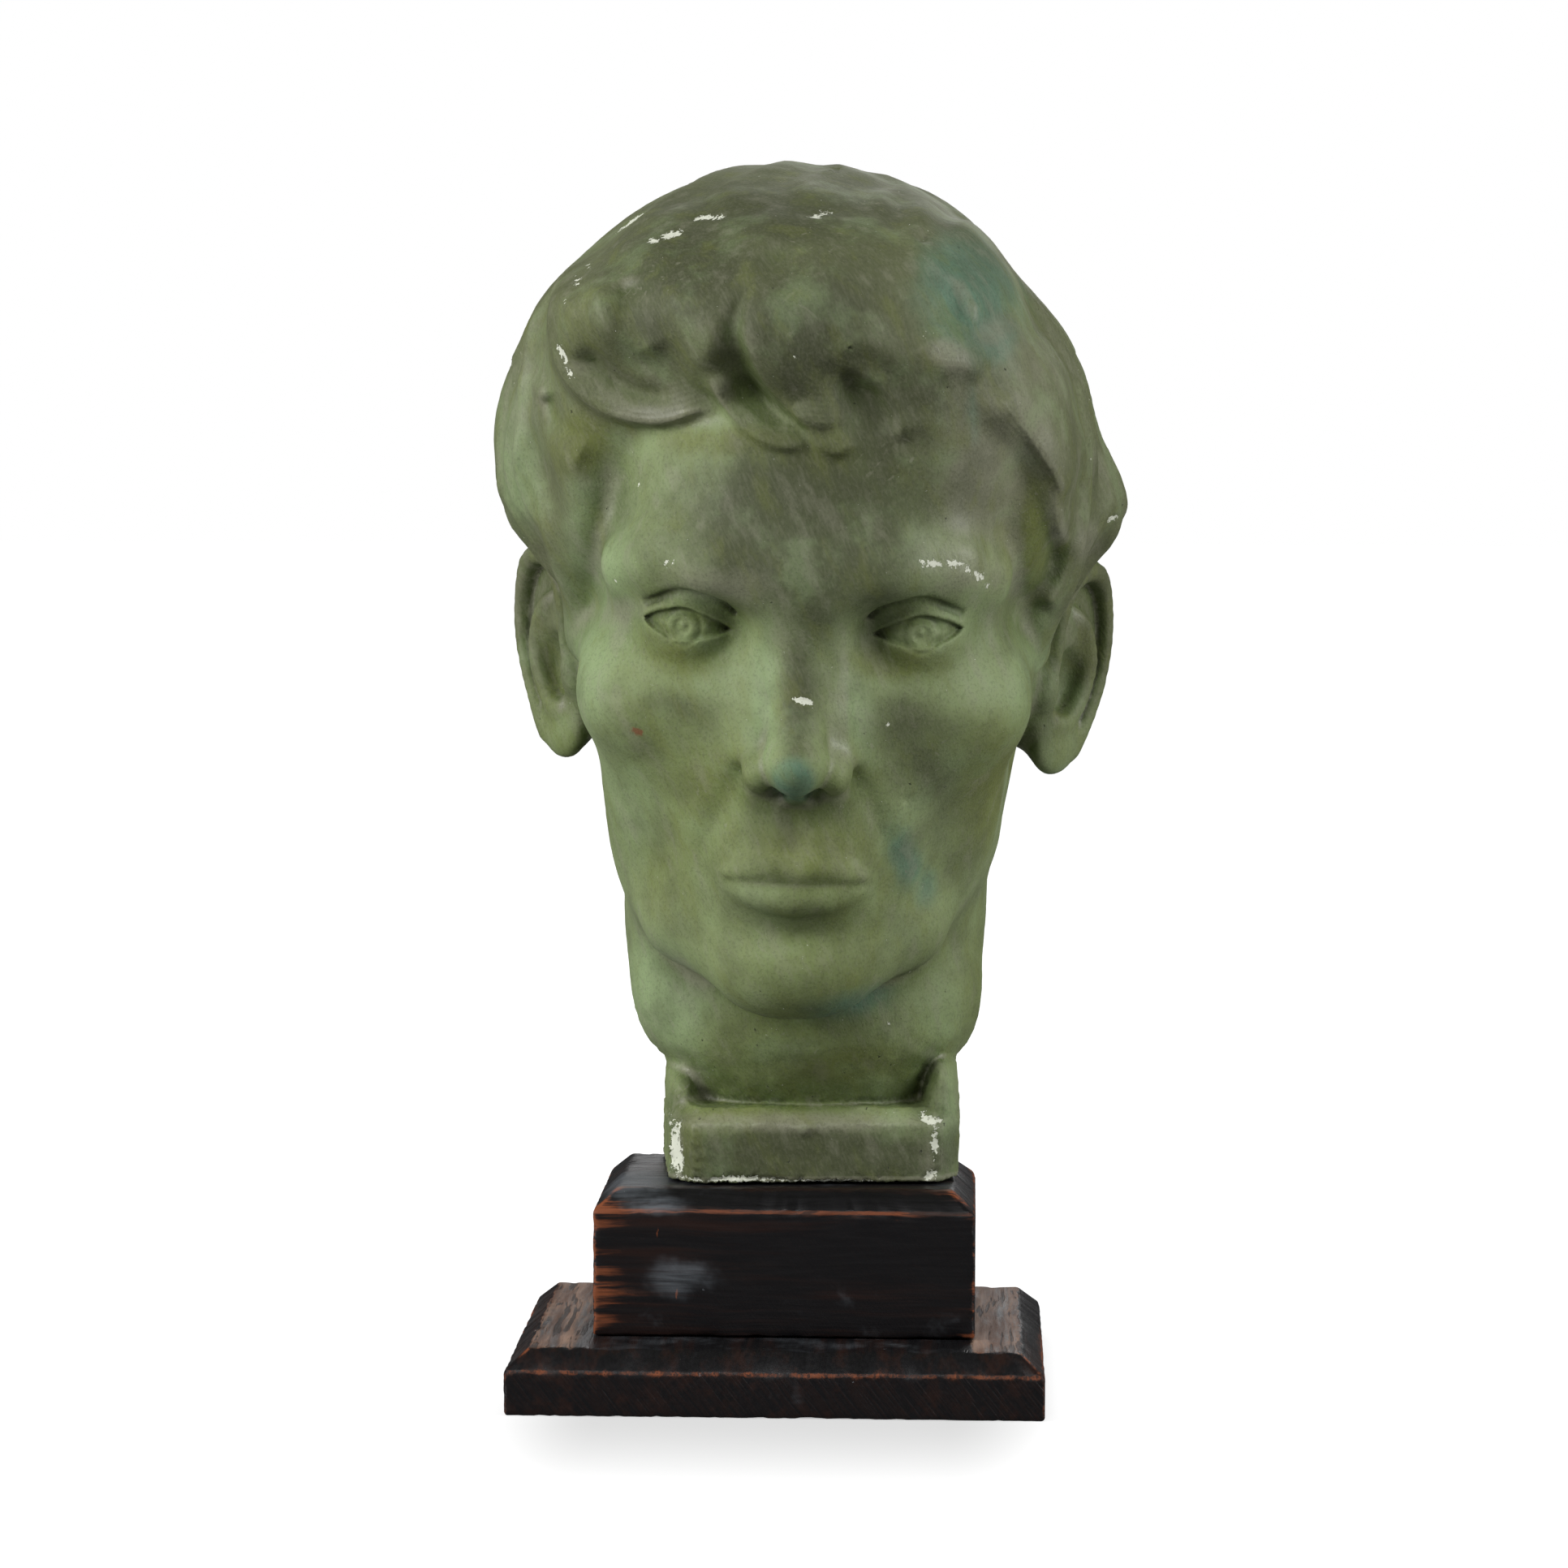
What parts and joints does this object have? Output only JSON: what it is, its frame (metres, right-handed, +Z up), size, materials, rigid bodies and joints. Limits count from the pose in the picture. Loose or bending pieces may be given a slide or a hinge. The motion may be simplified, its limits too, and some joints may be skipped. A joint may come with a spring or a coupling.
{
  "type": "plaster portrait head on a wooden base",
  "caption": "Life-size plaster head with a green painted patina, cast with its neck and squared foot, standing on a chamfered block and board of dark stained wood.",
  "frame": {"origin": "middle of the underside of the lower board", "axes": "+Z up, the face looks towards -Y, +X to the right of somebody who looks at the face"},
  "size_m": [0.1946, 0.2106, 0.3721],
  "materials": {
    "patinated_plaster": "cast plaster painted as green patina, satin on the rubbed high places, chipped to white",
    "stained_oak_block": "near-black stain worn to orange brown at the edges",
    "stained_oak_board": "dark stained open-pored oak, worn along the edges"
  },
  "bodies": {
    "root": {"plaster_head": "patinated_plaster", "upper_block": "stained_oak_block", "lower_board": "stained_oak_board"}
  },
  "joints": []
}
